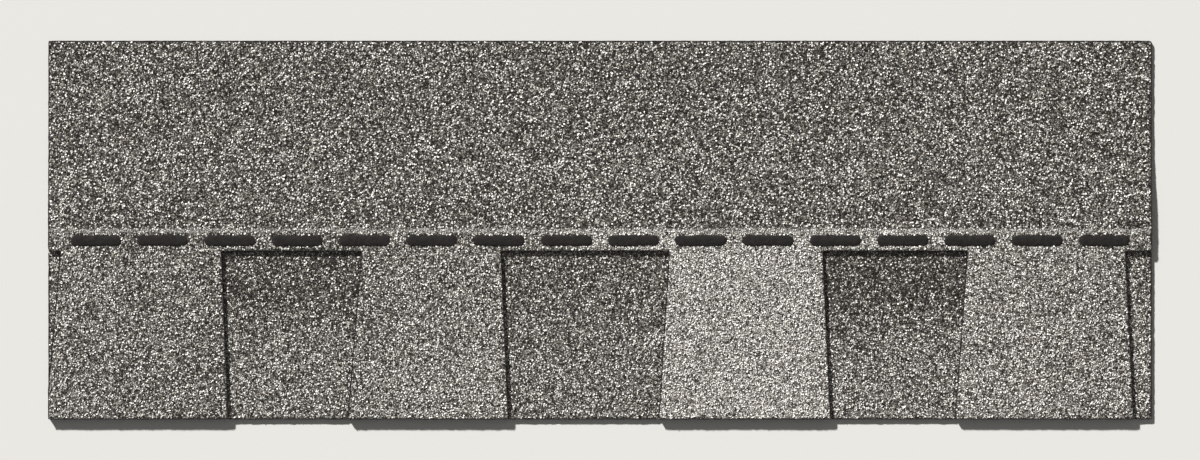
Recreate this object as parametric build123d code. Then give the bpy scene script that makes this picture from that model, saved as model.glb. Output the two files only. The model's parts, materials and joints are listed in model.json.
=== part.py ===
from build123d import *
import os
from collections import namedtuple
from math import acos, cos, sin

# One laminated asphalt shingle, lying face up on a level floor, in millimetres.
# X runs along the course, +Y up the slope, +Z out of the weather face.
# The origin is on the floor, under the middle of the shingle.

# The two sheets. Heights up the slope are measured from the butt edge.
SHINGLE_LENGTH = 984.0  # 38 3/4 in, end to end along the course
SHINGLE_HEIGHT = 337.0  # 13 1/4 in, butt edge to top edge
SHEET_THICKNESS = 2.6  # toothed sheet: glass mat, asphalt and granules
SLOT_DEPTH = 150.0  # butt edge to the top of every cut-out
COMMON_BOND = 22.0  # how far the backing strip reaches above the cut-outs
STRIP_THICKNESS = 2.6

# The cut pattern, read along the butt edge from the left end. Each tooth flares towards the butt:
# its sides lean out by different amounts on the way down from the top of the cut-out.
Tooth = namedtuple("Tooth", "gap_before tip_width left_lean right_lean")
TEETH = [
    Tooth(-2.5, 162.5, 13.5, 6.0),  # the end cut trims its left tip
    Tooth(107.0, 143.0, 12.5, 6.5),
    Tooth(134.5, 153.0, 9.5, 7.0),
    Tooth(111.5, 159.0, 11.0, 7.5),
]

# Behind the backing strip the toothed sheet sags on to the floor in a shallow S of two equal arcs
SAG_RADIUS = 600.0

# Laminating asphalt, in lines that run along the course between the two sheets
BOND_THICKNESS = 0.4
BOND_LINE_WIDTH = 8.0
BOND_LINES_PER_TOOTH = 3
BOND_SETBACK = 4.0  # from the edges of a tooth, of the backing strip and of the shingle

# Self-sealing strip: raised dashes of asphalt on the face, just above the cut-outs
DASH_LENGTH = 46.0
DASH_WIDTH = 10.0
DASH_THICKNESS = 0.8
DASH_EDGE_RADIUS = 0.5
DASH_PITCH = 60.0
DASH_ABOVE_SLOT = 4.0
DASH_END_MARGIN = 12.0  # least distance from an end of the shingle

# Clear film under the toothed sheet, behind the backing strip, which keeps stacked shingles apart
FILM_WIDTH = 38.0
FILM_THICKNESS = 0.1
FILM_ABOVE_STRIP = 3.0

CUT_OVERRUN = 5.0  # how far a cutting tool runs past the stock

LEFT_END = -SHINGLE_LENGTH / 2
BUTT = -SHINGLE_HEIGHT / 2
TOP_EDGE = SHINGLE_HEIGHT / 2
STRIP_HEIGHT = SLOT_DEPTH + COMMON_BOND
SHEET_UNDERSIDE = STRIP_THICKNESS + BOND_THICKNESS
SHEET_FACE = SHEET_UNDERSIDE + SHEET_THICKNESS


def tooth_sides():
    """Lists each tooth's x at its left tip, right tip, left root and right root."""
    sides = []
    x = LEFT_END
    for tooth in TEETH:
        left_tip = x + tooth.gap_before
        right_tip = left_tip + tooth.tip_width
        sides.append((left_tip, right_tip, left_tip + tooth.left_lean, right_tip - tooth.right_lean))
        x = right_tip
    return sides


def cut_outs(margin=0.0):
    """Cuts the spaces beside the teeth, each wider by a margin at its sides and top.

    The first and the last space run off the ends of the shingle.
    """
    sides = tooth_sides()
    far_left = min(LEFT_END, sides[0][0]) - CUT_OVERRUN
    far_right = max(-LEFT_END, sides[-1][1]) + CUT_OVERRUN
    space_lefts = [(far_left, far_left)] + [(right_tip, right_root) for _, right_tip, _, right_root in sides]
    space_rights = [(left_tip, left_root) for left_tip, _, left_root, _ in sides] + [(far_right, far_right)]
    top = BUTT + SLOT_DEPTH + margin
    below = BUTT - CUT_OVERRUN
    spaces = Sketch()
    for (left_tip, left_root), (right_tip, right_root) in zip(space_lefts, space_rights):
        outline = Polyline(
            (left_tip - margin, below),
            (left_tip - margin, BUTT),
            (left_root - margin, top),
            (right_root + margin, top),
            (right_tip + margin, BUTT),
            (right_tip + margin, below),
            close=True,
        )
        spaces += make_face(outline)
    return extrude(spaces, SHEET_FACE + CUT_OVERRUN)


def course_bar(low_y, high_y, low_z, high_z, setback=0.0):
    """Makes a rectangular bar along the whole course, less a setback at both ends."""
    size = (SHINGLE_LENGTH - 2 * setback, high_y - low_y, high_z - low_z)
    return Pos(0, (low_y + high_y) / 2, (low_z + high_z) / 2) * Box(*size)


def draped_layer(low, high):
    """Makes a layer of the shingle's full size that follows the toothed sheet down to the floor.

    Its two faces are offset by low and high from the sheet's underside. The arcs of every offset
    share their centres, so layers that touch meet face to face.
    """
    between_centres = 2 * SAG_RADIUS + SHEET_THICKNESS
    slope = acos(1 - SHEET_UNDERSIDE / between_centres)
    crest_y = BUTT + STRIP_HEIGHT
    crest_z = SHEET_UNDERSIDE - SAG_RADIUS
    hollow_y = crest_y + between_centres * sin(slope)
    hollow_z = crest_z + between_centres * cos(slope)

    def side_line(offset):
        """Draws one face in side view, from the butt edge to the top edge."""
        over = SAG_RADIUS + offset
        under = SAG_RADIUS + SHEET_THICKNESS - offset
        start = (crest_y, crest_z + over)
        over_middle = (crest_y + over * sin(slope / 2), crest_z + over * cos(slope / 2))
        turn = (crest_y + over * sin(slope), crest_z + over * cos(slope))
        under_middle = (hollow_y - under * sin(slope / 2), hollow_z - under * cos(slope / 2))
        finish = (hollow_y, hollow_z - under)
        return [
            Line((BUTT, start[1]), start),
            ThreePointArc(start, over_middle, turn),
            ThreePointArc(turn, under_middle, finish),
            Line(finish, (TOP_EDGE, finish[1])),
        ]

    lower = side_line(low)
    upper = side_line(high)
    butt_edge = Line(lower[0] @ 0, upper[0] @ 0)
    top_edge = Line(lower[-1] @ 1, upper[-1] @ 1)
    side_view = make_face(Curve() + lower + upper + [butt_edge, top_edge])
    return extrude(Plane.YZ * side_view, SHINGLE_LENGTH / 2, both=True)


def tooth_sheet():
    """Makes the upper sheet: the teeth, the band above them and the headlap behind."""
    return draped_layer(0, SHEET_THICKNESS) - cut_outs()


def backing_strip():
    """Makes the lower sheet, which shows through the cut-outs."""
    return course_bar(BUTT, BUTT + STRIP_HEIGHT, 0, STRIP_THICKNESS)


def laminating_adhesive():
    """Makes the lines of asphalt under each tooth, and the one above the cut-outs that runs through."""
    first = BUTT + BOND_SETBACK
    pitch = (SLOT_DEPTH - BOND_SETBACK) / BOND_LINES_PER_TOOTH
    starts = [first + pitch * line for line in range(BOND_LINES_PER_TOOTH)]
    bands = [(start, start + BOND_LINE_WIDTH) for start in starts]
    bands.append((BUTT + SLOT_DEPTH + BOND_SETBACK, BUTT + STRIP_HEIGHT - BOND_SETBACK))
    lines = Part()
    for low_y, high_y in bands:
        lines += course_bar(low_y, high_y, STRIP_THICKNESS, SHEET_UNDERSIDE, BOND_SETBACK)
    return lines - cut_outs(BOND_SETBACK)


def seal_strip():
    """Makes the dashes of the self-sealing strip, as many as fit, centred on the shingle."""
    dash = extrude(SlotOverall(DASH_LENGTH, DASH_WIDTH), DASH_THICKNESS)
    dash = fillet(dash.faces().sort_by(Axis.Z)[-1].edges(), DASH_EDGE_RADIUS)
    steps = int((SHINGLE_LENGTH - 2 * DASH_END_MARGIN - DASH_LENGTH) // DASH_PITCH)
    y = BUTT + SLOT_DEPTH + DASH_ABOVE_SLOT + DASH_WIDTH / 2
    places = [Pos((step - steps / 2) * DASH_PITCH, y, SHEET_FACE) for step in range(steps + 1)]
    return Part() + [place * dash for place in places]


def release_tape():
    """Makes the film on the underside of the sag, facing the sealing strip of a stacked neighbour."""
    low_y = BUTT + STRIP_HEIGHT + FILM_ABOVE_STRIP
    band = course_bar(low_y, low_y + FILM_WIDTH, -CUT_OVERRUN, SHEET_FACE)
    return draped_layer(-FILM_THICKNESS, 0) & band


PIECES = {
    "tooth_sheet": tooth_sheet,
    "backing_strip": backing_strip,
    "laminating_adhesive": laminating_adhesive,
    "seal_strip": seal_strip,
    "release_tape": release_tape,
}

os.makedirs("parts", exist_ok=True)
for name, make in PIECES.items():
    export_step(make(), f"parts/{name}.step")
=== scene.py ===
"""Looks of one laminated asphalt shingle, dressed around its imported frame, in metres.

The sheets of the frame stay and get a finish of asphalt with granules pressed flush into it. Geometry
Nodes sow the raised granules over them, lay the bare lip along every cut and draw the dashes of the
sealing strip.
"""

import json
import logging
import math
import random
from dataclasses import dataclass, field
from enum import Enum
from typing import Any

import bmesh
import bpy
from bpy.types import Collection, Material, Mesh, Node, NodeSocket, NodeTree, Object
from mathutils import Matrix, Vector


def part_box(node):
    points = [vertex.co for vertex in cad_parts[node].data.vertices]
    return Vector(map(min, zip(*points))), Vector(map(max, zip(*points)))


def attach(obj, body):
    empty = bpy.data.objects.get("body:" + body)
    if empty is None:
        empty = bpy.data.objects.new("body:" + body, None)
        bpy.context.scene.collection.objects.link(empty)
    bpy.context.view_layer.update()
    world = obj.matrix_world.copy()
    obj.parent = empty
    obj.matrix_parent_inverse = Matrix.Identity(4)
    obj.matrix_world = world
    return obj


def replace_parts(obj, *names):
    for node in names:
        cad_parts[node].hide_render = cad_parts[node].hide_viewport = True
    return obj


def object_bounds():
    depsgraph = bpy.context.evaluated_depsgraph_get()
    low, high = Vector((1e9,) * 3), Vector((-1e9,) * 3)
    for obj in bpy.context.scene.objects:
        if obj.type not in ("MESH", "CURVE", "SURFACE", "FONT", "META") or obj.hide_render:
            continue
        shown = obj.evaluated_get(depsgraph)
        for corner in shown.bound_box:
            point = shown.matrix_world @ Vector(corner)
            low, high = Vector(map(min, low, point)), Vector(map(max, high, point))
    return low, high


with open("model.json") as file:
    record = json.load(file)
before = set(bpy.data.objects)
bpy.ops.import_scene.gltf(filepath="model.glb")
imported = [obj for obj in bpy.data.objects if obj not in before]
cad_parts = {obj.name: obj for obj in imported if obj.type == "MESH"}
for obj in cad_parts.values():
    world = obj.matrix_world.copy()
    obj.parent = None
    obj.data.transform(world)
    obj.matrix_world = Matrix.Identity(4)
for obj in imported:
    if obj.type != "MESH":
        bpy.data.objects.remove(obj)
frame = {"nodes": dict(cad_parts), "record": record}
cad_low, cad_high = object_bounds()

MM = 0.001
BODY = "root"
PHOTO_WIDTH = 1200
PHOTO_SCALE = 0.892 * MM  # what one pixel of the photograph covers on the shingle
DISPLAY_GAMMA = 2.2  # from sRGB lightness to light, near enough for one granule
WELD = 0.01 * MM
NOISE_LOW, NOISE_HIGH = 0.25, 0.75  # noise keeps mostly between these
log = logging.getLogger("shingle")


def linear(colour: str) -> tuple[float, float, float, float]:
    """Turns an sRGB hex colour into linear RGB with an alpha of 1.

    Args:
        colour: The colour, as #rrggbb.

    Returns:
        Its linear red, green and blue, and 1.
    """
    shares = [int(colour[at : at + 2], 16) / 255 for at in (1, 3, 5)]
    red, green, blue = (s / 12.92 if s <= 0.04045 else ((s + 0.055) / 1.055) ** 2.4 for s in shares)
    return red, green, blue, 1.0


def add(tree: NodeTree, kind: str, *feeds: Any, out: int | str = 0, **settings: Any) -> NodeSocket:
    """Adds a node, sets it up and feeds its inputs.

    Args:
        tree: The shader or geometry tree that the node joins.
        kind: The node's type.
        *feeds: What feeds its inputs in order, each a socket or a value, or a dict of such feeds by
            the input's name or number.
        out: The name or number of the output to give back.
        **settings: The node's own settings.

    Returns:
        That output of the new node.
    """
    node = tree.nodes.new(kind)
    for name, value in settings.items():
        setattr(node, name, value)
    for at, feed in enumerate(feeds):
        for key, value in (feed if isinstance(feed, dict) else {at: feed}).items():
            if isinstance(value, NodeSocket):
                tree.links.new(value, node.inputs[key])
            else:
                node.inputs[key].default_value = value
    return node.outputs[out]


def slot_of(node: str) -> str:
    """Finds the material slot that the record gives a node."""
    return next(part["material_slot"] for part in frame["record"]["subparts"] if part["node"] == node)


def finished(name: str, mesh: Mesh, node: str) -> Object:
    """Makes a mesh a piece of the shingle.

    Args:
        name: The piece's name.
        mesh: Its mesh, in place and with its finish.
        node: The node that it belongs to; its slot is looked up but not given to the piece.

    Returns:
        The piece.
    """
    piece = bpy.data.objects.new(name, mesh)
    bpy.context.scene.collection.objects.link(piece)
    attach(piece, BODY)
    slot_of(node)
    log.info("%s: %d faces", name, len(mesh.polygons))
    return piece


def dress(node: str, material: Material) -> None:
    """Gives a node of the frame its finish.

    Args:
        node: The node.
        material: Its finish.
    """
    cad = frame["nodes"][node]
    if not cad.material_slots:
        cad.data.materials.append(None)
    for slot in cad.material_slots:
        slot.link = "OBJECT"
        slot.material = material
    log.info("%s: dressed in %s", node, material.name)


class GranuleColour(Enum):
    """The ceramic colours of one granule blend, from darkest to lightest, as sRGB hex."""

    CHARCOAL = "#272118"
    SLATE = "#514b41"
    PEWTER = "#767066"
    ASH = "#9b968b"
    BONE = "#c6c1b7"
    CHALK = "#f1ede6"

    @property
    def level(self) -> int:
        """The colour's place in the blend, from 0 for the darkest."""
        return list(GranuleColour).index(self)

    @classmethod
    def lightness(cls) -> tuple[float, float]:
        """The sRGB lightness of the darkest and the lightest colour, from 0 to 1."""
        greens = [int(member.value[3:5], 16) / 255 for member in cls]
        return greens[0], greens[-1]


@dataclass(frozen=True)
class Face:
    """Where the marks of the weather face lie, read from the frame."""

    left: float
    right: float
    cut_top: float
    nail_line: float
    cut_outs: tuple[tuple[float, float], ...]

    @classmethod
    def read(cls) -> "Face":
        """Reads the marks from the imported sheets, openings and mounts.

        Returns:
            The marks.
        """
        low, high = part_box("tooth_sheet")
        openings = [opening["box_m"] for opening in frame["record"]["physics"]["openings"]]
        nails = [mount["pos_m"] for mount in frame["record"]["mounts"] if mount["name"].startswith("nail")]
        return cls(
            left=low.x,
            right=high.x,
            cut_top=max(box[1][1] for box in openings),
            nail_line=nails[0][1],
            cut_outs=tuple((box[0][0], box[1][0]) for box in openings),
        )

    @property
    def tooth_joins(self) -> tuple[float, ...]:
        """Where one tooth's blend gives way to the next: in the middle of each cut-out."""
        return tuple((first + last) / 2 for first, last in self.cut_outs)

    @property
    def strip_joins(self) -> tuple[float, ...]:
        """Where the blend of the strip changes, out of sight under the middle of each tooth."""
        edges = [self.left, *(edge for cut_out in self.cut_outs for edge in cut_out), self.right]
        return tuple((edges[at] + edges[at + 1]) / 2 for at in range(0, len(edges), 2))


@dataclass(frozen=True)
class Drop:
    """One drop of blended granules along the course.

    Its tones are the sRGB lightness that its colours scatter about, where 1 is white. With a tone past
    the lightest colour's, most granules take that colour.
    """

    butt: float  # near the butt edge
    top: float  # near the top of the cut-outs
    drift: float = 0.0  # how much it rises from its left end to its right
    scatter: float = 1.0  # how widely its colours scatter about the tone, against the rest of the coat

    def across(self, middle: float) -> tuple[float, float]:
        """Gives the tones at its left and right end, from the one in its middle."""
        return middle - self.drift / 2, middle + self.drift / 2


@dataclass(frozen=True)
class Blend:
    """The blend of granule colours on one sheet, laid down in drops along the course."""

    face: Face
    joins: tuple[float, ...]
    drops: tuple[Drop, ...]
    fade_start: float  # how far below the top of the cut-outs a drop starts to change
    fade_end: float  # and how far below it the change is over
    mottle: float  # how far the tone clouds over, either way
    mottle_width: float = 16 * MM
    headlap_tone: float = 0.56
    soft_join: float = 7 * MM  # half the width in which two drops mix
    headlap_join: float = 3 * MM  # and in which the headlap's blend takes over

    def tone(self, tree: NodeTree, place: NodeSocket) -> NodeSocket:
        """Works out the tone at a place on the face, in a shader tree or a geometry tree.

        Args:
            tree: The tree that the blend joins.
            place: The place, in metres.

        Returns:
            The socket that holds the tone.
        """
        butt = self.course(tree, place, [drop.across(drop.butt) for drop in self.drops])
        top = self.course(tree, place, [drop.across(drop.top) for drop in self.drops])
        start, end = self.face.cut_top - self.fade_start, self.face.cut_top - self.fade_end
        risen = self.passed(tree, place, start, end)
        exposed = add(tree, "ShaderNodeMix", risen, {2: butt, 3: top})
        laid = add(tree, "ShaderNodeMix", self.behind(tree, place), {2: exposed, 3: self.headlap_tone})
        cloud = {"Vector": place, "Scale": 1 / self.mottle_width, "Detail": 2.0, "Roughness": 0.6}
        cloudy = add(tree, "ShaderNodeTexNoise", cloud)
        clouded = add(tree, "ShaderNodeMapRange", cloudy, NOISE_LOW, NOISE_HIGH, -self.mottle, self.mottle,
                      clamp=False)
        return add(tree, "ShaderNodeMath", laid, clouded, operation="ADD")

    def scatter(self, tree: NodeTree, place: NodeSocket) -> NodeSocket:
        """Works out how widely the colours scatter about the tone at a place, against the rest of the coat.

        Args:
            tree: The tree that the blend joins.
            place: The place, in metres.

        Returns:
            The socket that holds the share.
        """
        exposed = self.course(tree, place, [(drop.scatter, drop.scatter) for drop in self.drops])
        return add(tree, "ShaderNodeMix", self.behind(tree, place), {2: exposed, 3: 1.0})

    def behind(self, tree: NodeTree, place: NodeSocket) -> NodeSocket:
        """Tells how far a place has passed into the headlap, from 0 to 1."""
        start, end = self.face.nail_line - self.headlap_join, self.face.nail_line + self.headlap_join
        return self.passed(tree, place, start, end)

    def passed(self, tree: NodeTree, place: NodeSocket, start: float, end: float) -> NodeSocket:
        """Tells how far a place has passed from one height up the slope to another.

        Args:
            tree: The tree that the answer joins.
            place: The place, in metres.
            start: The height where the answer is 0.
            end: The height where it is 1.

        Returns:
            The socket that holds the answer.
        """
        height = add(tree, "ShaderNodeSeparateXYZ", place, out="Y")
        return add(tree, "ShaderNodeMapRange", height, start, end, interpolation_type="SMOOTHSTEP")

    def course(self, tree: NodeTree, place: NodeSocket, ends: list[tuple[float, float]]) -> NodeSocket:
        """Runs one value along the course for each drop, with a soft join between neighbours.

        Args:
            tree: The tree that the values join.
            place: The place, in metres.
            ends: The values at the left and right end of each drop.

        Returns:
            The socket that holds the value at the place.
        """
        bounds = [self.face.left, *self.joins, self.face.right]
        length = self.face.right - self.face.left
        stops = []
        for start, finish, (first, last) in zip(bounds, bounds[1:], ends):
            stops.append(((start + self.soft_join - self.face.left) / length, first))
            stops.append(((finish - self.soft_join - self.face.left) / length, last))
        across = add(tree, "ShaderNodeSeparateXYZ", place, out="X")
        along = add(tree, "ShaderNodeMapRange", across, self.face.left, self.face.right)
        made = add(tree, "ShaderNodeFloatCurve", {"Value": along})
        mapping = made.node.mapping
        mapping.use_clip = False
        points = mapping.curves[0].points
        while len(points) < len(stops):
            points.new(0.5, 0.5)
        for point, stop in zip(points, stops):
            point.location = stop
            point.handle_type = "AUTO_CLAMPED"
        mapping.update()
        return made


@dataclass(frozen=True)
class NailPaint:
    """Line of roofing paint, rolled on to the tops of the granules where the nails go."""

    line: float  # its height up the slope
    colour: str = "#d6d3cb"
    width: float = 3.4 * MM
    fuzz: float = 0.8 * MM  # of each edge, either way
    cover: float = 0.6  # the share of the granules' own colour that it hides
    wander: float = 0.75 * MM  # of both edges, either way
    patch: float = 2.5 * MM  # how long a stretch wanders alike

    def over(self, tree: NodeTree, place: NodeSocket, colour: NodeSocket) -> NodeSocket:
        """Paints the line over a colour.

        Args:
            tree: The shader tree.
            place: The place on the sheet, in metres.
            colour: The colour under the paint.

        Returns:
            The socket that holds the painted colour.
        """
        height = add(tree, "ShaderNodeSeparateXYZ", place, out="Y")
        off = add(tree, "ShaderNodeMath", height, self.line, operation="SUBTRACT")
        away = add(tree, "ShaderNodeMath", off, operation="ABSOLUTE")
        patchy = add(tree, "ShaderNodeTexNoise", {"Vector": place, "Scale": 1 / self.patch, "Detail": 1.0})
        strayed = add(tree, "ShaderNodeMapRange", patchy, NOISE_LOW, NOISE_HIGH, -self.wander, self.wander,
                      clamp=False)
        wandering = add(tree, "ShaderNodeMath", away, strayed, operation="ADD")
        inner, outer = self.width / 2 - self.fuzz, self.width / 2 + self.fuzz
        share = add(tree, "ShaderNodeMapRange", wandering, inner, outer, self.cover, 0.0,
                    interpolation_type="SMOOTHSTEP")
        return add(tree, "ShaderNodeMix", share, {6: colour, 7: linear(self.colour)}, out=2, data_type="RGBA")


@dataclass(frozen=True, kw_only=True)
class Finish:
    """One finish, laid on a shader by the kind of stuff that it is."""

    name: str
    roughness: float
    specular: float = 0.3

    def material(self) -> Material:
        """Makes the material.

        Returns:
            The material, with its pattern on the piece's own coordinates.
        """
        made = bpy.data.materials.new(self.name)
        made.use_nodes = True
        shader = made.node_tree.nodes["Principled BSDF"]
        shader.inputs["Roughness"].default_value = self.roughness
        shader.inputs["Specular IOR Level"].default_value = self.specular
        self.lay(made.node_tree, add(made.node_tree, "ShaderNodeTexCoord", out="Object"), shader)
        return made

    def lay(self, tree: NodeTree, place: NodeSocket, shader: Node) -> None:
        """Lays the finish on its shader.

        Args:
            tree: The shader tree.
            place: The place on the piece, in metres.
            shader: The shader that the finish feeds.
        """
        raise NotImplementedError


@dataclass(frozen=True, kw_only=True)
class CrushedGranule(Finish):
    """Crushed rock with a fired ceramic coat: matt, with a faint dry glint and uneven depth of colour."""

    colour: GranuleColour
    paint: NailPaint
    roughness: float = 0.5
    uneven: float = 0.3  # from the palest granule of a colour to the deepest

    def lay(self, tree: NodeTree, place: NodeSocket, shader: Node) -> None:
        """Gives each granule its own depth of one colour, under the nail line's paint.

        Args:
            tree: The shader tree.
            place: The place on the piece, in metres.
            shader: The shader that the finish feeds.
        """
        own = add(tree, "ShaderNodeAttribute", out="Fac", attribute_name="shade")
        depth = add(tree, "ShaderNodeMapRange", own, 0.0, 1.0, 1 - self.uneven / 2, 1 + self.uneven / 2)
        full = linear(self.colour.value)[:3]
        coat = add(tree, "ShaderNodeVectorMath", full, {"Scale": depth}, operation="SCALE")
        tree.links.new(self.paint.over(tree, place, coat), shader.inputs["Base Color"])


@dataclass(frozen=True)
class MatLine:
    """The glass mat at mid thickness, which sags with its sheet from the strip's edge to the floor."""

    front: float  # its height over the strip
    back: float  # its height in the headlap
    start: float  # where the sag starts up the slope
    length: float = 85 * MM

    def height(self, tree: NodeTree, along: NodeSocket) -> NodeSocket:
        """Works out the height of the mat.

        Args:
            tree: The shader tree.
            along: How far up the slope the place lies.

        Returns:
            The socket that holds the height.
        """
        end = self.start + self.length
        return add(tree, "ShaderNodeMapRange", along, self.start, end, self.front, self.back,
                   interpolation_type="SMOOTHSTEP")


@dataclass(frozen=True, kw_only=True)
class AsphaltSheet(Finish):
    """Oxidised asphalt on a glass mat: black between the granules that are pressed flush into it.

    The cut edges are bare black asphalt with the pale mat fibres in the middle, and the back is
    dusted with sand so that shingles don't stick together.
    """

    blend: Blend
    paint: NailPaint
    mat: MatLine
    spread: float  # how far the colours of the blend scatter about its tone
    roughness: float = 0.65
    asphalt: str = "#120f0b"
    tint: str = "#fff9ee"  # of the granules' grey
    grain: float = 1.35 * MM  # of a flush granule, across
    gap: float = 0.11  # the share of a clean granule's lightness that a flush granule keeps: painted shade, for the shade that falls between the raised granules
    painted_shade: float = 0.48  # of a clean granule's lightness, because asphalt sticks to it
    facet_tilt: float = 0.75  # play of a flush granule's normal along X and along Y
    upright: tuple[float, float] = (0.5, 0.7)  # rise of the normal, from a cut edge to a face
    sand: str = "#6b665e"
    sand_grain: float = 0.45 * MM  # fine dry sand
    sand_relief: float = 0.3 * MM
    dust_patch: float = 22 * MM
    dusting: tuple[float, float] = (0.55, 0.9)  # of luck and patch together, from bare to covered
    fibre: str = "#4a4640"
    fibre_length: float = 1.8 * MM
    fibre_line: float = 0.35 * MM  # how far from the mat's middle the last fibres show
    tufts: tuple[float, float] = (0.4, 0.6)  # of the noise along the mat, from no fibre to full

    def lay(self, tree: NodeTree, place: NodeSocket, shader: Node) -> None:
        """Gives the face its granules, the back its sand and the cut edges their mat.

        Args:
            tree: The shader tree.
            place: The place on the piece, in metres.
            shader: The shader that the finish feeds.
        """
        up = add(tree, "ShaderNodeSeparateXYZ", place.node.outputs["Normal"], out="Z")
        down = add(tree, "ShaderNodeMath", up, -1.0, operation="MULTIPLY")
        faced = add(tree, "ShaderNodeMapRange", up, *self.upright)
        backed = add(tree, "ShaderNodeMapRange", down, *self.upright)
        face, lean = self.face(tree, place)
        back, grit = self.back(tree, place)
        edge = self.edge(tree, place)
        colour = add(tree, "ShaderNodeMix", faced, {6: edge, 7: face}, out=2, data_type="RGBA")
        colour = add(tree, "ShaderNodeMix", backed, {6: colour, 7: back}, out=2, data_type="RGBA")
        leaning = add(tree, "ShaderNodeVectorMath", lean, {"Scale": faced}, operation="SCALE")
        normal = add(tree, "ShaderNodeNewGeometry", out="Normal")
        tipped = add(tree, "ShaderNodeVectorMath", normal, leaning, operation="ADD")
        unit = add(tree, "ShaderNodeVectorMath", tipped, operation="NORMALIZE")
        height = add(tree, "ShaderNodeMath", grit, backed, operation="MULTIPLY")
        relief = {"Height": height, "Distance": self.sand_relief, "Strength": 0.8, "Normal": unit}
        tree.links.new(colour, shader.inputs["Base Color"])
        tree.links.new(add(tree, "ShaderNodeBump", relief), shader.inputs["Normal"])

    def face(self, tree: NodeTree, place: NodeSocket) -> tuple[NodeSocket, NodeSocket]:
        """Lays granules of the sheet's own blend flush in black asphalt.

        Args:
            tree: The shader tree.
            place: The place on the sheet, in metres.

        Returns:
            The sockets that hold the colour, and how far each granule's top leans.
        """
        grains = {"Vector": place, "Scale": 1 / self.grain}
        cells = add(tree, "ShaderNodeTexVoronoi", grains, out="Color", voronoi_dimensions="2D")
        edges = add(tree, "ShaderNodeTexVoronoi", grains, voronoi_dimensions="2D", feature="DISTANCE_TO_EDGE")
        # three even draws, from 0 to 3 when added up, scatter each granule about the blend's tone
        draws = add(tree, "ShaderNodeVectorMath", cells, (1.0,) * 3, out="Value", operation="DOT_PRODUCT")
        scatter = add(tree, "ShaderNodeMapRange", draws, 0.0, 3.0, -3 * self.spread, 3 * self.spread)
        share, tone = self.blend.scatter(tree, place), self.blend.tone(tree, place)
        own = add(tree, "ShaderNodeMath", scatter, share, tone, operation="MULTIPLY_ADD")
        kept = add(tree, "ShaderNodeClamp", own, *GranuleColour.lightness())
        clean = add(tree, "ShaderNodeMath", kept, DISPLAY_GAMMA, operation="POWER")
        # painted shade: every flush granule is darkened, as the shade between the raised granules would
        # darken it
        light = add(tree, "ShaderNodeMath", clean, self.painted_shade, operation="MULTIPLY")
        tinted = add(tree, "ShaderNodeVectorMath", linear(self.tint)[:3], {"Scale": light}, operation="SCALE")
        painted = self.paint.over(tree, place, tinted)
        solid = add(tree, "ShaderNodeMapRange", edges, self.gap, 2 * self.gap,
                    interpolation_type="SMOOTHSTEP")
        between = {6: linear(self.asphalt), 7: painted}
        colour = add(tree, "ShaderNodeMix", solid, between, out=2, data_type="RGBA")
        luck = add(tree, "ShaderNodeTexWhiteNoise", cells.node.outputs["Position"], out="Color")
        centred = add(tree, "ShaderNodeVectorMath", luck, (0.5,) * 3, operation="SUBTRACT")
        reach = (self.facet_tilt, self.facet_tilt, 0.0)
        return colour, add(tree, "ShaderNodeVectorMath", centred, reach, operation="MULTIPLY")

    def back(self, tree: NodeTree, place: NodeSocket) -> tuple[NodeSocket, NodeSocket]:
        """Dusts the back with sand.

        Args:
            tree: The shader tree.
            place: The place on the sheet, in metres.

        Returns:
            The sockets that hold the colour and the height.
        """
        sand = {"Vector": place, "Scale": 1 / self.sand_grain}
        cells = add(tree, "ShaderNodeTexVoronoi", sand, out="Color")
        luck = add(tree, "ShaderNodeSeparateColor", cells).node.outputs
        patch = {"Vector": place, "Scale": 1 / self.dust_patch, "Detail": 4.0}
        patches = add(tree, "ShaderNodeTexNoise", patch)
        dust = add(tree, "ShaderNodeMath", luck["Red"], patches, operation="ADD")
        cover = add(tree, "ShaderNodeMapRange", dust, *self.dusting)
        over = {6: linear(self.asphalt), 7: linear(self.sand)}
        return add(tree, "ShaderNodeMix", cover, over, out=2, data_type="RGBA"), luck["Green"]

    def edge(self, tree: NodeTree, place: NodeSocket) -> NodeSocket:
        """Shows the cut asphalt with a broken line of glass fibres along the mat.

        Args:
            tree: The shader tree.
            place: The place on the sheet, in metres.

        Returns:
            The socket that holds the colour.
        """
        axes = add(tree, "ShaderNodeSeparateXYZ", place).node.outputs
        off = add(tree, "ShaderNodeMath", axes["Z"], self.mat.height(tree, axes["Y"]), operation="SUBTRACT")
        away = add(tree, "ShaderNodeMath", off, operation="ABSOLUTE")
        near = add(tree, "ShaderNodeMapRange", away, self.fibre_line / 3, self.fibre_line, 1.0, 0.0)
        along = {"Vector": place, "Scale": 1 / self.fibre_length, "Detail": 3.0}
        tuft = add(tree, "ShaderNodeMapRange", add(tree, "ShaderNodeTexNoise", along), *self.tufts)
        share = add(tree, "ShaderNodeMath", near, tuft, operation="MULTIPLY")
        over = {6: linear(self.asphalt), 7: linear(self.fibre)}
        return add(tree, "ShaderNodeMix", share, over, out=2, data_type="RGBA")


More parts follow.
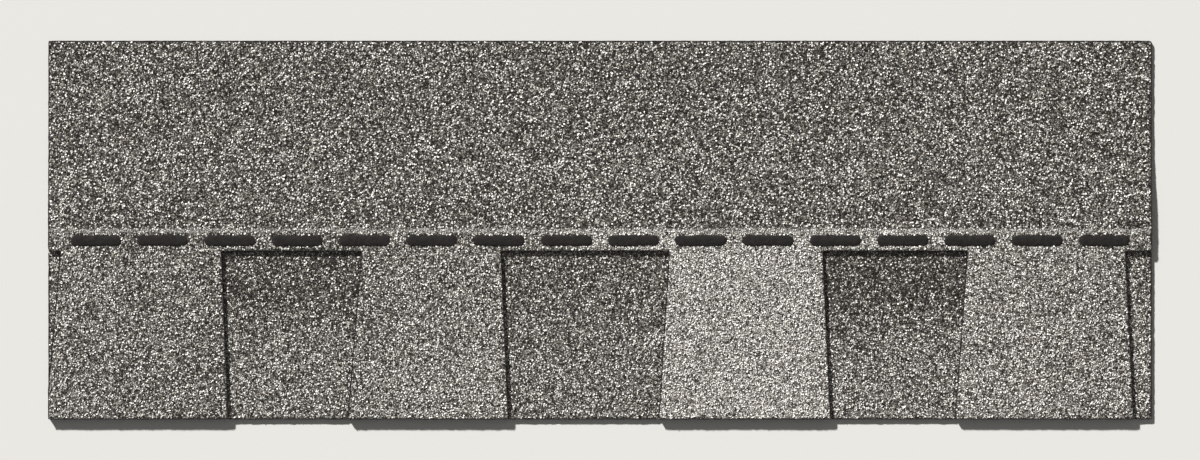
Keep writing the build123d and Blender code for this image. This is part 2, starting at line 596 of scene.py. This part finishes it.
@dataclass(frozen=True, kw_only=True)
class HotMeltAsphalt(Finish):
    """Modified asphalt laid hot: black with a dull shine, patchy where it was touched or pressed."""

    colour: str = "#131110"
    dusty: str = "#2a2724"
    dusting: tuple[float, float] = (0.35, 0.7)  # of the lumps' height, from clean to dusty
    dulling: float = 0.2  # how much rougher the dusty patches are
    dulled: tuple[float, float] = (0.3, 0.75)  # of the lumps' height, from shiny to dull
    lump: float = 2.4 * MM  # from one lump to the next
    relief: float = 0.35 * MM

    def lay(self, tree: NodeTree, place: NodeSocket, shader: Node) -> None:
        """Gives the asphalt its lumps and dusty patches.

        Args:
            tree: The shader tree.
            place: The place on the piece, in metres.
            shader: The shader that the finish feeds.
        """
        lumps = add(tree, "ShaderNodeTexNoise", {"Vector": place, "Scale": 1 / self.lump, "Detail": 3.0})
        patch = add(tree, "ShaderNodeMapRange", lumps, *self.dusting)
        over = {6: linear(self.colour), 7: linear(self.dusty)}
        colour = add(tree, "ShaderNodeMix", patch, over, out=2, data_type="RGBA")
        roughest = self.roughness + self.dulling
        dull = add(tree, "ShaderNodeMapRange", lumps, *self.dulled, self.roughness, roughest)
        relief = add(tree, "ShaderNodeBump", {"Height": lumps, "Distance": self.relief, "Strength": 1.0})
        tree.links.new(colour, shader.inputs["Base Color"])
        tree.links.new(dull, shader.inputs["Roughness"])
        tree.links.new(relief, shader.inputs["Normal"])


@dataclass(frozen=True, kw_only=True)
class PolyesterFilm(Finish):
    """Clear polyester film: glossy and slightly puckered, so the sanded back shows through it."""

    name: str = "clear polyester release film"
    roughness: float = 0.14
    specular: float = 0.5
    colour: str = "#b9b8b4"
    alpha: float = 0.3
    pucker: float = 9 * MM  # from one pucker to the next
    relief: float = 0.4 * MM

    def lay(self, tree: NodeTree, place: NodeSocket, shader: Node) -> None:
        """Gives the film its clearness and its puckers.

        Args:
            tree: The shader tree.
            place: The place on the piece, in metres.
            shader: The shader that the finish feeds.
        """
        folds = {"Vector": place, "Scale": 1 / self.pucker, "Detail": 2.0, "Distortion": 0.6}
        waves = add(tree, "ShaderNodeTexNoise", folds)
        relief = add(tree, "ShaderNodeBump", {"Height": waves, "Distance": self.relief, "Strength": 0.5})
        shader.inputs["Base Color"].default_value = linear(self.colour)
        shader.inputs["Alpha"].default_value = self.alpha
        tree.links.new(relief, shader.inputs["Normal"])


@dataclass(frozen=True, kw_only=True)
class StudioPaper(Finish):
    """Matt pale background paper, the same all over."""

    name: str = "pale studio paper"
    roughness: float = 0.9
    colour: str = "#e9e7e2"

    def lay(self, tree: NodeTree, place: NodeSocket, shader: Node) -> None:
        """Gives the paper its colour."""
        shader.inputs["Base Color"].default_value = linear(self.colour)


@dataclass
class Recipe:
    """A Geometry Nodes tree with named inputs, whose result is kept as a plain mesh."""

    name: str
    inputs: dict[str, str]  # the kind of value that each named input takes
    tree: NodeTree = field(init=False)
    given: Node = field(init=False)

    def __post_init__(self) -> None:
        """Opens the tree with its inputs and its one output."""
        self.tree = bpy.data.node_groups.new(self.name, "GeometryNodeTree")
        for label, kind in {"Geometry": "Geometry", **self.inputs}.items():
            self.tree.interface.new_socket(label, in_out="INPUT", socket_type=f"NodeSocket{kind}")
        self.tree.interface.new_socket("Geometry", in_out="OUTPUT", socket_type="NodeSocketGeometry")
        self.given = self.tree.nodes.new("NodeGroupInput")

    def value(self, label: str) -> NodeSocket:
        """Gives the socket of one named input."""
        return self.given.outputs[label]

    def end(self, geometry: NodeSocket) -> None:
        """Closes the tree with its result."""
        result = self.tree.nodes.new("NodeGroupOutput")
        self.tree.links.new(geometry, result.inputs["Geometry"])

    def follow(self, mesh: Mesh, name: str, **values: Any) -> Mesh:
        """Runs the tree on a mesh.

        Args:
            mesh: The mesh that the tree starts from.
            name: The name of the mesh that it makes.
            **values: The value of each named input, in small letters and with _ for a space.

        Returns:
            The mesh that it makes.
        """
        holder = bpy.data.objects.new(name, mesh)
        bpy.context.scene.collection.objects.link(holder)
        modifier = holder.modifiers.new(self.name, "NODES")
        modifier.node_group = self.tree
        for item in self.tree.interface.items_tree:
            label = item.name.replace(" ", "_").lower()
            if item.in_out == "INPUT" and label in values:
                modifier[item.identifier] = values[label]
        graph = bpy.context.evaluated_depsgraph_get()
        made = bpy.data.meshes.new_from_object(holder.evaluated_get(graph))
        bpy.data.objects.remove(holder)
        made.name = name
        return made


def swing(tree: NodeTree, wave: NodeSocket, reach: NodeSocket) -> NodeSocket:
    """Works out an offset that wanders smoothly from place to place, in a geometry tree.

    Args:
        tree: The geometry tree.
        wave: How wide its waves are.
        reach: How far it wanders either way along each axis.

    Returns:
        The socket that holds the offset.
    """
    place = add(tree, "GeometryNodeInputPosition")
    waves = add(tree, "ShaderNodeMath", 1.0, wave, operation="DIVIDE")
    cloud = add(tree, "ShaderNodeTexNoise", {"Vector": place, "Scale": waves, "Detail": 1.0}, out="Color")
    steepness = 2 / (NOISE_HIGH - NOISE_LOW)  # spreads the noise from -1 to 1
    middle = -steepness * (NOISE_LOW + NOISE_HIGH) / 2
    even = add(tree, "ShaderNodeVectorMath", cloud, (steepness,) * 3, (middle,) * 3, operation="MULTIPLY_ADD")
    return add(tree, "ShaderNodeVectorMath", even, reach, operation="MULTIPLY")


@dataclass(frozen=True)
class Part:
    """One part of a sheet's face, with its own grade of granules."""

    name: str
    low_edge: float  # where it starts and ends up the slope
    high_edge: float
    size: float = 1.55 * MM  # of a middling granule, across
    spacing: float = 1.05 * MM  # the least between the middles of two granules


@dataclass(frozen=True)
class Sheet:
    """One of the two sheets: what lies on it, how it is blended and where its mat runs."""

    node: str
    cover: str  # the node that lies on part of its face
    blend: Blend
    mat: MatLine
    parts: tuple[Part, ...]
    seed: int

    def dress(self, paint: NailPaint, spread: float) -> None:
        """Gives the sheet itself its finish.

        Args:
            paint: The paint of the nail line.
            spread: How far the colours of the blend scatter about its tone.
        """
        name = f"asphalt sheet, {self.node}"
        finish = AsphaltSheet(name=name, blend=self.blend, paint=paint, mat=self.mat, spread=spread)
        dress(self.node, finish.material())

    def stock(self) -> Mesh:
        """Copies the sheet's own mesh, for a recipe to start from."""
        return frame["nodes"][self.node].data.copy()


@dataclass
class OpenFace:
    """The part of a sheet's weather face that nothing covers, as sockets inside a recipe.

    The recipe has the sheet as its geometry, and an input named Cover.
    """

    recipe: Recipe
    upright: float = 0.9  # least rise of a face's normal
    lift: float = 0.05 * MM  # how far above a place the look upwards starts
    reach: float = 10 * MM  # how far up it goes
    pull: float = 0.999  # draws a place on the outline inwards, under what covers it there

    def tops(self) -> NodeSocket:
        """Takes the upward faces of the sheet, welded together.

        Returns:
            The socket that holds the faces.
        """
        tree = self.recipe.tree
        welded = add(tree, "GeometryNodeMergeByDistance", self.recipe.value("Geometry"), {"Distance": WELD})
        up = add(tree, "ShaderNodeSeparateXYZ", add(tree, "GeometryNodeInputNormal"), out="Z")
        chosen = add(tree, "ShaderNodeMath", up, self.upright, operation="GREATER_THAN")
        return add(tree, "GeometryNodeSeparateGeometry", welded, chosen, domain="FACE")

    def outline(self, tops: NodeSocket) -> NodeSocket:
        """Takes the cut outline of the upward faces.

        Args:
            tops: The upward faces.

        Returns:
            The socket that holds the outline's edges.
        """
        tree = self.recipe.tree
        beside = add(tree, "GeometryNodeInputMeshEdgeNeighbors")  # how many faces meet at each edge
        alone = add(tree, "ShaderNodeMath", beside, 1.0, 0.5, operation="COMPARE")
        return add(tree, "GeometryNodeSeparateGeometry", tops, alone, domain="EDGE")

    def covered(self) -> NodeSocket:
        """Tells whether something lies over a place on the face.

        Returns:
            The socket that holds the answer.
        """
        tree = self.recipe.tree
        place = add(tree, "GeometryNodeInputPosition")
        inside = (self.pull, self.pull, 1.0)
        above = (0.0, 0.0, self.lift)
        spot = add(tree, "ShaderNodeVectorMath", place, inside, above, operation="MULTIPLY_ADD")
        cover = add(tree, "GeometryNodeObjectInfo", self.recipe.value("Cover"), out="Geometry")
        ray = {"Source Position": spot, "Ray Direction": (0.0, 0.0, 1.0), "Ray Length": self.reach}
        return add(tree, "GeometryNodeRaycast", {"Target Geometry": cover, **ray})


@dataclass
class CutLip:
    """The bare asphalt lip along a cut, where the blade breaks the granules away."""

    finish: Material
    radius: float = 0.5 * MM  # of the bead
    sink: float = 0.2 * MM  # of the bead's middle, below the face
    step: float = 2.6 * MM  # from one ring of the bead to the next
    waver: float = 0.24 * MM
    wave: float = 4 * MM  # how wide the waves of its waver are
    sides: int = 6
    recipe: Recipe = field(init=False)

    def __post_init__(self) -> None:
        """Writes the recipe that lays a wavering bead along the open outline of a sheet's face."""
        inputs = {"Cover": "Object", "Radius": "Float", "Sink": "Float", "Step": "Float", "Waver": "Float",
                  "Wave": "Float", "Sides": "Int", "Finish": "Material"}
        self.recipe = Recipe("lay cut lip", inputs)
        tree, value = self.recipe.tree, self.recipe.value
        face = OpenFace(self.recipe)
        outline = add(tree, "GeometryNodeMeshToCurve", face.outline(face.tops()))
        stepped = add(tree, "GeometryNodeResampleCurve", outline, {"Length": value("Step")}, mode="LENGTH")
        line = add(tree, "GeometryNodeCurveToMesh", stepped)
        bared = add(tree, "GeometryNodeDeleteGeometry", line, face.covered(), domain="POINT")
        down = add(tree, "ShaderNodeMath", value("Sink"), -1.0, operation="MULTIPLY")
        sunk = add(tree, "ShaderNodeCombineXYZ", {2: down})
        swung = swing(tree, value("Wave"), value("Waver"))
        offset = add(tree, "ShaderNodeVectorMath", swung, sunk, operation="ADD")
        moved = add(tree, "GeometryNodeSetPosition", bared, {"Offset": offset})
        path = add(tree, "GeometryNodeMeshToCurve", moved)
        profile = add(tree, "GeometryNodeCurvePrimitiveCircle", value("Sides"), {"Radius": value("Radius")})
        bead = add(tree, "GeometryNodeCurveToMesh", path, profile, {"Fill Caps": True})
        whole = add(tree, "GeometryNodeRealizeInstances", bead)
        self.recipe.end(add(tree, "GeometryNodeSetMaterial", whole, {"Material": value("Finish")}))

    def trim(self, sheet: Sheet) -> None:
        """Lays the lip along the cuts of one sheet.

        Args:
            sheet: The sheet.
        """
        name = f"cut_lip_{sheet.node}"
        mesh = self.recipe.follow(sheet.stock(), name, cover=frame["nodes"][sheet.cover], radius=self.radius,
                                  sink=self.sink, step=self.step, waver=self.waver, wave=self.wave,
                                  sides=self.sides, finish=self.finish)
        finished(name, mesh, sheet.node)


@dataclass
class SealDashes:
    """The dashes of the self-sealing strip, drawn on hot: rounded loaves with uneven sides and tops."""

    finish: Material
    node: str = "seal_strip"
    dash: float = 46 * MM  # its whole length
    pitch: float = 60 * MM  # from one dash to the next
    side_waver: float = 0.7 * MM
    top_waver: float = 0.2 * MM
    wave: float = 6 * MM  # how wide the waves of both are
    rings: int = 36
    sides: int = 14
    tip: float = 0.01  # keeps the last ring at each end open

    def draw(self) -> None:
        """Draws the dashes where the frame has them."""
        low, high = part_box(self.node)
        steps = round((high.x - low.x - self.dash) / self.pitch)
        width = high.y - low.y
        first = Vector((-steps * self.pitch / 2, (low.y + high.y) / 2, low.z))
        name = "sealant_dashes"
        mesh = self.recipe().follow(bpy.data.meshes.new(name), name, count=steps + 1, pitch=self.pitch,
                                    first=first, size=(self.dash, width / 2, high.z - low.z),
                                    round_end=width / self.dash, side_waver=self.side_waver,
                                    top_waver=self.top_waver, wave=self.wave, rings=self.rings,
                                    sides=self.sides, finish=self.finish)
        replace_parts(finished(name, mesh, self.node), self.node)

    def recipe(self) -> Recipe:
        """Writes the recipe that draws a row of dashes, flat where they sit on the face.

        Returns:
            The recipe.
        """
        inputs = {"Count": "Int", "Pitch": "Float", "First": "Vector", "Size": "Vector", "Round End": "Float",
                  "Side Waver": "Float", "Top Waver": "Float", "Wave": "Float", "Rings": "Int",
                  "Sides": "Int", "Finish": "Material"}
        recipe = Recipe("draw sealant dashes", inputs)
        tree, value = recipe.tree, recipe.value
        loaf = add(tree, "GeometryNodeTransform", self.loaf(recipe), {"Scale": value("Size")})
        stride = add(tree, "ShaderNodeCombineXYZ", value("Pitch"))
        places = {"Count": value("Count"), "Start Location": value("First"), "Offset": stride}
        row = add(tree, "GeometryNodeMeshLine", places)
        dashes = add(tree, "GeometryNodeInstanceOnPoints", row, {"Instance": loaf})
        whole = add(tree, "GeometryNodeRealizeInstances", dashes)
        sideways = value("Side Waver")
        reach = add(tree, "ShaderNodeCombineXYZ", sideways, sideways, value("Top Waver"))
        lumpy = add(tree, "GeometryNodeSetPosition", whole, {"Offset": swing(tree, value("Wave"), reach)})
        axes = add(tree, "ShaderNodeSeparateXYZ", add(tree, "GeometryNodeInputPosition")).node.outputs
        floor = add(tree, "ShaderNodeSeparateXYZ", value("First"), out="Z")
        height = add(tree, "ShaderNodeMath", axes["Z"], floor, operation="MAXIMUM")
        seat = add(tree, "ShaderNodeCombineXYZ", axes["X"], axes["Y"], height)
        seated = add(tree, "GeometryNodeSetPosition", lumpy, {"Position": seat})
        smooth = add(tree, "GeometryNodeSetShadeSmooth", seated)
        recipe.end(add(tree, "GeometryNodeSetMaterial", smooth, {"Material": value("Finish")}))
        return recipe

    def loaf(self, recipe: Recipe) -> NodeSocket:
        """Makes a loaf of length 1 and radius 1 along X, with rounded ends.

        Args:
            recipe: The recipe that the loaf joins.

        Returns:
            The socket that holds it.
        """
        tree, value = recipe.tree, recipe.value
        ends = {"Start": (-0.5, 0.0, 0.0), "End": (0.5, 0.0, 0.0)}
        spine = add(tree, "GeometryNodeCurvePrimitiveLine", ends)
        ringed = add(tree, "GeometryNodeResampleCurve", spine, {"Count": value("Rings")})
        profile = add(tree, "GeometryNodeCurvePrimitiveCircle", value("Sides"), {"Radius": 1.0})
        along = add(tree, "GeometryNodeSplineParameter")
        both = add(tree, "ShaderNodeMath", along, 2.0, -1.0, operation="MULTIPLY_ADD")
        out = add(tree, "ShaderNodeMath", both, operation="ABSOLUTE")
        start = add(tree, "ShaderNodeMath", 1.0, value("Round End"), operation="SUBTRACT")
        into = add(tree, "ShaderNodeMapRange", out, start, 1.0)
        square = add(tree, "ShaderNodeMath", into, into, operation="MULTIPLY")
        left = add(tree, "ShaderNodeMath", 1 + self.tip, square, operation="SUBTRACT")
        girth = add(tree, "ShaderNodeMath", left, operation="SQRT")
        swept = {"Scale": girth, "Fill Caps": True}
        return add(tree, "GeometryNodeCurveToMesh", ringed, profile, swept)


@dataclass
class GranuleCrop:
    """The crushed shapes that granules are picked from: an uneven flat top over a point in the bed."""

    top_corners: tuple[int, ...] = (4, 4, 5, 4, 5)
    top_height: float = 0.26  # for a granule of width 1, as the rest are
    unevenness: float = 0.14  # of the top, either way
    depth: float = 0.3  # of the point, in the bed
    width_play: float = 0.15
    root_play: float = 0.1  # of the point, to each side
    turn_play: float = 0.25  # of the turn from one corner to the next
    seed: int = 11

    def shape(self, corners: int, chance: random.Random) -> Mesh:
        """Makes one closed shape about one unit wide.

        Args:
            corners: How many corners its top has.
            chance: The source of its unevenness.

        Returns:
            The shape's mesh.
        """
        form = bmesh.new()
        for at in range(corners):
            turn = math.tau * (at + chance.uniform(-self.turn_play, self.turn_play)) / corners
            out = 0.5 * chance.uniform(1 - self.width_play, 1 + self.width_play)
            height = self.top_height + chance.uniform(-self.unevenness, self.unevenness)
            form.verts.new((out * math.cos(turn), out * math.sin(turn), height))
        aside, along = (chance.uniform(-self.root_play, self.root_play) for _ in range(2))
        form.verts.new((aside, along, -self.depth))
        bmesh.ops.convex_hull(form, input=form.verts)
        bmesh.ops.recalc_face_normals(form, faces=form.faces)
        mesh = bpy.data.meshes.new("crushed shape")
        form.to_mesh(mesh)
        form.free()
        return mesh

    def gather(self) -> Collection:
        """Makes all the shapes, as a collection that a recipe can pick from.

        Returns:
            The collection.
        """
        chance = random.Random(self.seed)
        crop = bpy.data.collections.new("crushed shapes")
        for at, corners in enumerate(self.top_corners):
            crop.objects.link(bpy.data.objects.new(f"crushed_{at}", self.shape(corners, chance)))
        return crop


@dataclass
class GranuleCoat:
    """The coat of granules that is dropped and pressed on to a hot sheet."""

    crop: Collection
    finishes: dict[GranuleColour, Material]
    candidates: float = 2.2e6  # places tried for each square metre
    margin: float = 0.8 * MM  # of bare asphalt along a cut
    spread: float = 0.48  # how far the colours of a blend scatter about its tone
    smallest: float = 0.68  # of a middling granule's size
    largest: float = 1.3
    stagger: float = 0.2 * MM  # how far granules sit higher or lower than each other
    tilt: float = 0.6  # the most that a granule leans each way, in radians
    shade_draw: float = 5.0  # added to a recipe's seed, so that each kind of draw is its own
    lift_draw: float = 9.0
    tone_draws: tuple[float, ...] = (17.0, 18.0, 19.0)
    grower: Recipe = field(init=False)

    def __post_init__(self) -> None:
        """Writes the recipe that stands a crushed shape on each place of one colour."""
        inputs = {"Shapes": "Collection", "Level": "Int", "Smallest": "Float", "Largest": "Float",
                  "Stagger": "Float", "Turn": "Vector", "Seed": "Int", "Finish": "Material"}
        self.grower = Recipe("grow granules", inputs)
        tree, value = self.grower.tree, self.grower.value
        level = add(tree, "GeometryNodeInputNamedAttribute", {"Name": "level"}, data_type="FLOAT")
        same = add(tree, "ShaderNodeMath", level, value("Level"), 0.5, operation="COMPARE")
        places = add(tree, "GeometryNodeMeshToPoints", value("Geometry"), same)
        apart = {"Collection": value("Shapes"), "Separate Children": True, "Reset Children": True}
        shapes = add(tree, "GeometryNodeCollectionInfo", apart)
        back = add(tree, "ShaderNodeVectorMath", value("Turn"), {"Scale": -1.0}, operation="SCALE")
        turn = add(tree, "FunctionNodeRandomValue", back, value("Turn"), {"Seed": value("Seed")},
                   data_type="FLOAT_VECTOR")
        widths = {2: value("Smallest"), 3: value("Largest"), "Seed": value("Seed")}
        bulk = add(tree, "FunctionNodeRandomValue", widths, out=1, data_type="FLOAT")
        picked = {"Instance": shapes, "Pick Instance": True, "Rotation": turn, "Scale": bulk}
        grown = add(tree, "GeometryNodeInstanceOnPoints", places, picked)
        other = add(tree, "ShaderNodeMath", value("Seed"), self.shade_draw, operation="ADD")
        shade = add(tree, "FunctionNodeRandomValue", {"Seed": other}, out=1, data_type="FLOAT")
        shaded = add(tree, "GeometryNodeStoreNamedAttribute", grown, {"Name": "shade", "Value": shade},
                     domain="INSTANCE")
        other = add(tree, "ShaderNodeMath", value("Seed"), self.lift_draw, operation="ADD")
        down = add(tree, "ShaderNodeMath", value("Stagger"), -1.0, operation="MULTIPLY")
        lift = add(tree, "FunctionNodeRandomValue", {2: down, 3: value("Stagger"), "Seed": other}, out=1,
                   data_type="FLOAT")
        raised = {"Translation": add(tree, "ShaderNodeCombineXYZ", {2: lift}), "Local Space": False}
        seated = add(tree, "GeometryNodeTranslateInstances", shaded, raised)
        whole = add(tree, "GeometryNodeRealizeInstances", seated)
        self.grower.end(add(tree, "GeometryNodeSetMaterial", whole, {"Material": value("Finish")}))

    def sower(self, blend: Blend) -> Recipe:
        """Writes the recipe that scatters places over a sheet and gives each its colour's level.

        Args:
            blend: The sheet's blend.

        Returns:
            The recipe.
        """
        inputs = {"Cover": "Object", "Low Edge": "Float", "High Edge": "Float", "Spacing": "Float",
                  "Candidates": "Float", "Spread": "Float", "Margin": "Float", "Seed": "Int"}
        recipe = Recipe("sow granules", inputs)
        tree, value = recipe.tree, recipe.value
        face = OpenFace(recipe)
        tops = face.tops()
        density = {"Distance Min": value("Spacing"), "Density Max": value("Candidates"),
                   "Seed": value("Seed")}
        scattered = add(tree, "GeometryNodeDistributePointsOnFaces", tops, density,
                        distribute_method="POISSON")
        edge = add(tree, "GeometryNodeProximity", face.outline(tops), out="Distance", target_element="EDGES")
        close = add(tree, "ShaderNodeMath", edge, value("Margin"), operation="LESS_THAN")
        bare = add(tree, "ShaderNodeMath", close, face.covered(), operation="MAXIMUM")
        height = add(tree, "ShaderNodeSeparateXYZ", add(tree, "GeometryNodeInputPosition"), out="Y")
        below = add(tree, "ShaderNodeMath", height, value("Low Edge"), operation="LESS_THAN")
        above = add(tree, "ShaderNodeMath", height, value("High Edge"), operation="GREATER_THAN")
        outside = add(tree, "ShaderNodeMath", below, above, operation="MAXIMUM")
        unsown = add(tree, "ShaderNodeMath", bare, outside, operation="MAXIMUM")
        places = add(tree, "GeometryNodeDeleteGeometry", scattered, unsown, domain="POINT")
        place = add(tree, "GeometryNodeInputPosition")
        tone = blend.tone(tree, place)
        most = add(tree, "ShaderNodeMath", value("Spread"), blend.scatter(tree, place), operation="MULTIPLY")
        least = add(tree, "ShaderNodeMath", most, -1.0, operation="MULTIPLY")
        # even draws, added up, scatter each granule about the blend's tone
        for draw in self.tone_draws:
            seed = add(tree, "ShaderNodeMath", value("Seed"), draw, operation="ADD")
            luck = add(tree, "FunctionNodeRandomValue", {2: least, 3: most, "Seed": seed}, out=1,
                       data_type="FLOAT")
            tone = add(tree, "ShaderNodeMath", tone, luck, operation="ADD")
        darkest, lightest = GranuleColour.lightness()
        share = add(tree, "ShaderNodeMapRange", tone, darkest, lightest, 0.0, len(GranuleColour) - 1)
        level = add(tree, "ShaderNodeMath", share, operation="ROUND")
        marked = add(tree, "GeometryNodeStoreNamedAttribute", places, {"Name": "level", "Value": level})
        recipe.end(add(tree, "GeometryNodePointsToVertices", marked))
        return recipe

    def cover(self, sheet: Sheet) -> None:
        """Coats the open face of one sheet, in one piece for each part of it and each colour.

        Args:
            sheet: The sheet.
        """
        sower = self.sower(sheet.blend)
        for part in sheet.parts:
            places = sower.follow(sheet.stock(), f"places_{part.name}", cover=frame["nodes"][sheet.cover],
                                  low_edge=part.low_edge, high_edge=part.high_edge, spacing=part.spacing,
                                  candidates=self.candidates, spread=self.spread, margin=self.margin,
                                  seed=sheet.seed)
            log.info("%s: %d granules", part.name, len(places.vertices))
            for colour in GranuleColour:
                name = f"granules_{part.name}_{colour.name.lower()}"
                mesh = self.grower.follow(places.copy(), name, shapes=self.crop, level=colour.level,
                                          smallest=part.size * self.smallest,
                                          largest=part.size * self.largest, stagger=self.stagger,
                                          turn=(self.tilt, self.tilt, math.pi),
                                          seed=sheet.seed + colour.level, finish=self.finishes[colour])
                finished(name, mesh, sheet.node)


@dataclass
class Studio:
    """The plain pale floor, the key lamp, the fill and the camera."""

    key_elevation: float = 26.0  # in degrees, as the next two are
    key_azimuth: float = 33.0  # from up the slope round to the left
    key_softness: float = 4.0
    key_share: float = 0.87  # of the light on a level surface
    sky_seen: float = 0.9  # the strength of the sky to the camera and in gloss
    floor_size: float = 12.0
    floor_gap: float = 0.1 * MM
    lens: float = 150.0  # in millimetres, as the sensor's width is
    sensor: float = 36.0

    def build(self) -> None:
        """Sets out the studio."""
        self.lay_floor()
        self.hang_key()
        self.fill()
        self.stand_camera()

    def lay_floor(self) -> None:
        """Lays a wide floor just under the shingle."""
        form = bmesh.new()
        bmesh.ops.create_grid(form, x_segments=1, y_segments=1, size=self.floor_size / 2)
        bmesh.ops.translate(form, verts=form.verts, vec=(0, 0, cad_low.z - self.floor_gap))
        mesh = bpy.data.meshes.new("floor")
        form.to_mesh(mesh)
        form.free()
        mesh.materials.append(StudioPaper().material())
        floor = bpy.data.objects.new("floor", mesh)
        bpy.context.scene.collection.objects.link(floor)

    def hang_key(self) -> None:
        """Hangs the key lamp low on the upper left, so that teeth and granules throw short shadows."""
        lamp = bpy.data.lights.new("key", "SUN")
        up, round_left = math.radians(self.key_elevation), math.radians(self.key_azimuth)
        lamp.energy = self.key_share * math.pi / math.sin(up)
        lamp.angle = math.radians(self.key_softness)
        key = bpy.data.objects.new("key", lamp)
        bpy.context.scene.collection.objects.link(key)
        level = math.cos(up)
        towards = Vector((-math.sin(round_left) * level, math.cos(round_left) * level, math.sin(up)))
        key.rotation_euler = (-towards).to_track_quat("-Z", "Y").to_euler()

    def fill(self) -> None:
        """Fills with an even white sky, which looks white to the camera and in gloss."""
        world = bpy.data.worlds.new("studio")
        bpy.context.scene.world = world
        world.use_nodes = True
        tree = world.node_tree
        rays = add(tree, "ShaderNodeLightPath").node.outputs
        seen = add(tree, "ShaderNodeMath", rays["Is Camera Ray"], rays["Is Glossy Ray"], operation="MAXIMUM")
        seen = add(tree, "ShaderNodeMath", seen, rays["Is Transmission Ray"], operation="MAXIMUM")
        strength = add(tree, "ShaderNodeMapRange", seen, 0.0, 1.0, 1 - self.key_share, self.sky_seen)
        tree.links.new(strength, tree.nodes["Background"].inputs["Strength"])
        tree.nodes["Background"].inputs["Color"].default_value = (1.0, 1.0, 1.0, 1.0)

    def stand_camera(self) -> None:
        """Looks straight down on the shingle, with up the slope at the top, at the photograph's scale."""
        lens = bpy.data.cameras.new("camera")
        lens.lens = self.lens
        lens.sensor_width = self.sensor
        camera = bpy.data.objects.new("camera", lens)
        bpy.context.scene.collection.objects.link(camera)
        across = PHOTO_WIDTH * PHOTO_SCALE
        camera.location = (0.0, 0.0, cad_high.z + across * self.lens / self.sensor)
        bpy.context.scene.camera = camera


def sheets(face: Face) -> tuple[Sheet, Sheet]:
    """Describes the two sheets, with the tones that the photograph shows on each tooth and cut-out.

    Args:
        face: The marks of the weather face.

    Returns:
        The backing strip and the toothed sheet.
    """
    low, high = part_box("tooth_sheet")
    strip_low, strip_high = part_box("backing_strip")
    middle = (strip_high.z - strip_low.z) / 2
    strip_drops = (Drop(0.66, 0.66), Drop(0.7, 0.4), Drop(0.67, 0.52), Drop(0.72, 0.35), Drop(0.74, 0.64))
    strip_blend = Blend(face, face.strip_joins, strip_drops, fade_start=100 * MM, fade_end=26 * MM,
                        mottle=0.03)
    strip = Sheet("backing_strip", "tooth_sheet", strip_blend, MatLine(middle, middle, strip_high.y),
                  (Part("strip", strip_low.y, strip_high.y),), seed=3)
    tooth_drops = (Drop(0.67, 0.66, -0.1), Drop(0.83, 0.72, 0.2), Drop(1.56, 1.49, 0.06, scatter=1.8),
                   Drop(0.9, 0.88, -0.28))
    tooth_blend = Blend(face, face.tooth_joins, tooth_drops, fade_start=125 * MM, fade_end=25 * MM,
                        mottle=0.055)
    sagging = MatLine(high.z - middle, low.z + middle, strip_high.y)
    teeth = Sheet("tooth_sheet", "seal_strip", tooth_blend, sagging,
                  (Part("teeth", low.y, face.nail_line),
                   Part("headlap", face.nail_line, high.y, size=1.7 * MM, spacing=1.15 * MM)), seed=40)
    return strip, teeth


def main() -> None:
    """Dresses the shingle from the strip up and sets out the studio."""
    bpy.context.scene.view_settings.view_transform = "Standard"
    face = Face.read()
    paint = NailPaint(face.nail_line)
    finishes = {}
    for colour in GranuleColour:
        name = f"ceramic-coated granule, {colour.name.lower()}"
        finishes[colour] = CrushedGranule(name=name, colour=colour, paint=paint).material()
    coat = GranuleCoat(GranuleCrop().gather(), finishes)
    cut = HotMeltAsphalt(name="asphalt sheet, broken at a cut", roughness=0.6, specular=0.2, relief=0.15 * MM)
    lip = CutLip(cut.material())
    for sheet in sheets(face):
        sheet.dress(paint, coat.spread)
        coat.cover(sheet)
        lip.trim(sheet)
    SealDashes(HotMeltAsphalt(name="self-sealing asphalt", roughness=0.68, specular=0.2).material()).draw()
    pressed = HotMeltAsphalt(name="laminating asphalt, pressed", roughness=0.55)
    dress("laminating_adhesive", pressed.material())
    dress("release_tape", PolyesterFilm().material())
    Studio().build()


if __name__ == "__main__":
    logging.basicConfig(level=logging.INFO, format="%(message)s")
    main()
